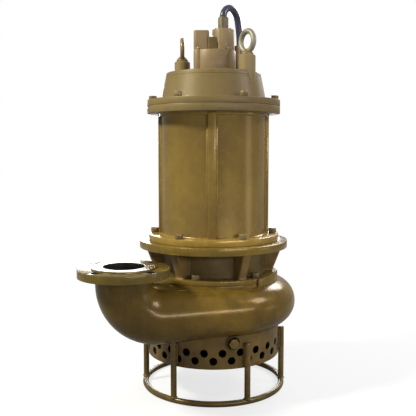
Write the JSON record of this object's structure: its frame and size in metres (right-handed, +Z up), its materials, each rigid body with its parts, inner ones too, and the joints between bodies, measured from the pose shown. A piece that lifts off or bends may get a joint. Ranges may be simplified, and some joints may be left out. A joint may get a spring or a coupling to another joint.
{
  "type": "submersible slurry pump",
  "caption": "Submersible slurry pump with spiral casing, upturned flanged outlet, round strainer, agitator, electric motor, lifting eyes and power cable.",
  "frame": {"origin": "bottom centre of the pump's own box, on the floor; the pump's axis stands beside it, at x 0.080 m and y 0.031 m", "axes": "+Z up along the shaft, from the base ring to the cable gland; the discharge leaves the casing towards -X, in front of the axis (-Y), and turns up"},
  "size_m": [0.6798, 0.8394, 0.9831],
  "materials": {
    "ochre_paint": "glossy metallic ochre enamel over iron castings",
    "zinc": "zinc-plated forged steel, slightly yellow",
    "bolt_steel": "steel fasteners painted over in ochre",
    "shaft_steel": "ground steel",
    "chrome_iron": "bare wear-resistant cast iron",
    "core_iron": "laminated core iron and bare castings inside the motor",
    "copper": "varnished copper windings",
    "seal_carbide": "lapped hard ceramic seal rings",
    "cable_rubber": "black rubber cable sheath, slightly shiny"
  },
  "bodies": {
    "casing": {"volute_casing": "ochre_paint", "suction_cover": "chrome_iron", "strainer_drum": "ochre_paint", "strainer_base_plate": "ochre_paint", "stand_ring": "ochre_paint", "stand_leg_1": "ochre_paint", "stand_leg_2": "ochre_paint", "stand_leg_3": "ochre_paint", "stand_leg_4": "ochre_paint", "stand_leg_5": "ochre_paint", "stand_leg_6": "ochre_paint", "pump_bracket": "ochre_paint", "seal_cover": "chrome_iron", "seal_stationary_ring": "seal_carbide", "motor_frame": "ochre_paint", "stator_core": "core_iron", "winding_lower": "copper", "winding_upper": "copper", "lower_bearing_outer_ring": "shaft_steel", "upper_bearing_outer_ring": "shaft_steel", "bearing_shield": "core_iron", "top_cover": "ochre_paint", "junction_base": "ochre_paint", "control_entry": "ochre_paint", "gland_body": "ochre_paint", "gland_nut": "bolt_steel", "eyebolt_left": "zinc", "eyebolt_right": "zinc", "strainer_bolt_1": "bolt_steel", "strainer_bolt_2": "bolt_steel", "strainer_bolt_3": "bolt_steel", "strainer_bolt_4": "bolt_steel", "casing_bolt_1": "bolt_steel", "casing_bolt_2": "bolt_steel", "casing_bolt_3": "bolt_steel", "casing_bolt_4": "bolt_steel", "casing_bolt_5": "bolt_steel", "casing_bolt_6": "bolt_steel", "frame_bolt_1": "bolt_steel", "frame_bolt_2": "bolt_steel", "frame_bolt_3": "bolt_steel", "frame_bolt_4": "bolt_steel", "frame_bolt_5": "bolt_steel", "frame_bolt_6": "bolt_steel", "cover_bolt_1": "bolt_steel", "cover_bolt_2": "bolt_steel", "cover_bolt_3": "bolt_steel", "cover_bolt_4": "bolt_steel", "cover_bolt_5": "bolt_steel", "cover_bolt_6": "bolt_steel", "cable": "cable_rubber", "cable_coil": "cable_rubber"},
    "rotor": {"shaft": "shaft_steel", "rotor_core": "core_iron", "impeller": "chrome_iron", "agitator": "chrome_iron", "agitator_nut": "bolt_steel", "lower_bearing_inner_race": "shaft_steel", "upper_bearing_inner_race": "shaft_steel", "seal_rotating_ring": "seal_carbide"}
  },
  "joints": [
    {"name": "shaft_spin", "type": "hinge", "parent": "casing", "child": "rotor", "pos_m": [0.07997, 0.03109, 0.2261], "axis": [0, 0, 1], "continuous": true}
  ]
}
